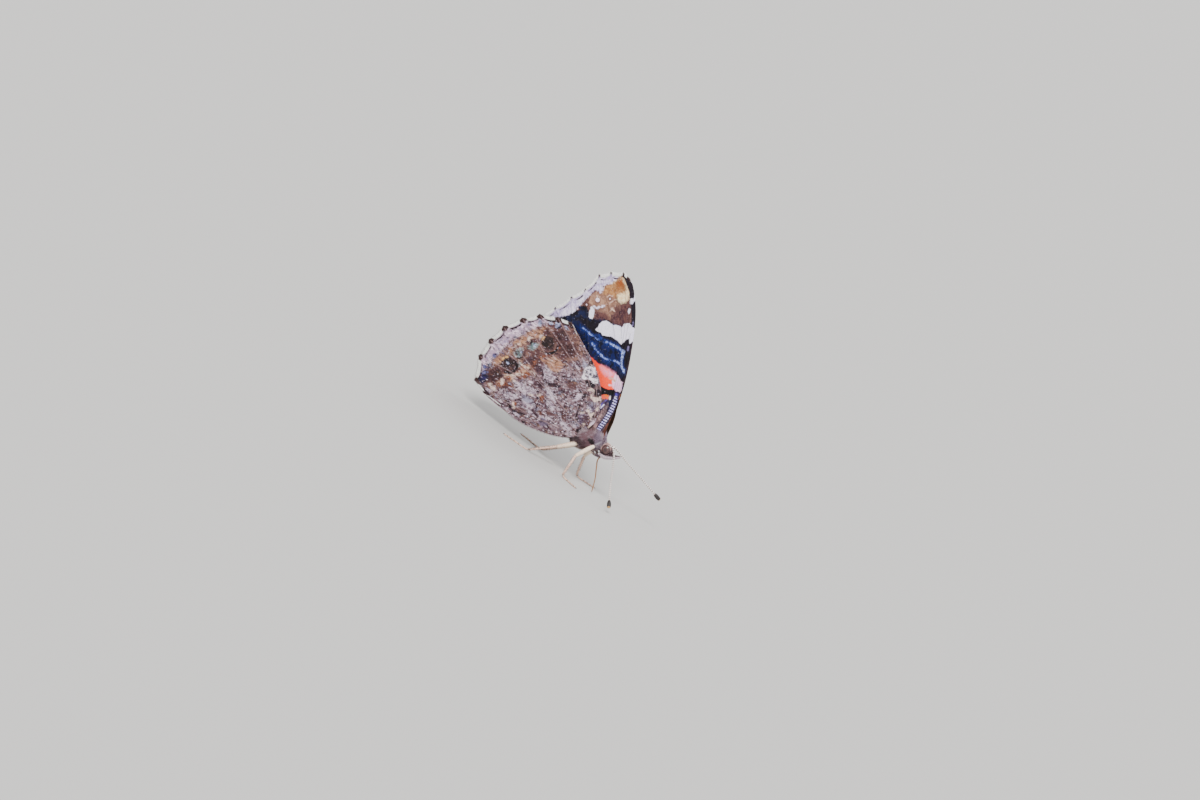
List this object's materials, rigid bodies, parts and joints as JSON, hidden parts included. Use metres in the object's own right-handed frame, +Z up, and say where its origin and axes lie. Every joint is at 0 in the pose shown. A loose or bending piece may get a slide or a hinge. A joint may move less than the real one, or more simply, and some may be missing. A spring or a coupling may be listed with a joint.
{
  "type": "red admiral butterfly model",
  "caption": "Life-size still model of a resting red admiral butterfly, wings closed over its back, standing on thin walking legs with clubbed antennae.",
  "frame": {"origin": "under the middle of the animal's length and width, on the ground that the feet stand on", "axes": "+X forward through the head, +Y to the animal's left, +Z up"},
  "size_m": [0.0456, 0.0182, 0.0396],
  "materials": {
    "fur": "grey-brown fur over a dark skin",
    "forewing": "matt wing scales, dark brown and black with red, white and blue marks",
    "hindwing": "matt wing scales, finely marbled in brown, grey and lilac",
    "leg": "pale cream, lightly scaled",
    "eye": "smooth dark brown, faintly ringed",
    "antenna": "black with fine pale rings",
    "antenna_club": "black with a pale tip",
    "proboscis": "brown, lightly ringed"
  },
  "bodies": {
    "root": {"thorax": "fur", "abdomen": "fur", "head": "fur", "palp_left": "fur", "palp_right": "fur", "eye_left": "eye", "eye_right": "eye", "foreleg_left": "leg", "foreleg_right": "leg", "midleg_left_femur": "leg", "midleg_left_tibia": "leg", "midleg_left_tarsus": "leg", "midleg_right_femur": "leg", "midleg_right_tibia": "leg", "midleg_right_tarsus": "leg", "hindleg_left_femur": "leg", "hindleg_left_tibia": "leg", "hindleg_left_tarsus": "leg", "hindleg_right_femur": "leg", "hindleg_right_tibia": "leg", "hindleg_right_tarsus": "leg", "antenna_left": "antenna", "antenna_right": "antenna", "antenna_club_left": "antenna_club", "antenna_club_right": "antenna_club", "proboscis": "proboscis", "forewing_left": "forewing", "forewing_right": "forewing", "hindwing_left": "hindwing", "hindwing_right": "hindwing"}
  },
  "joints": []
}
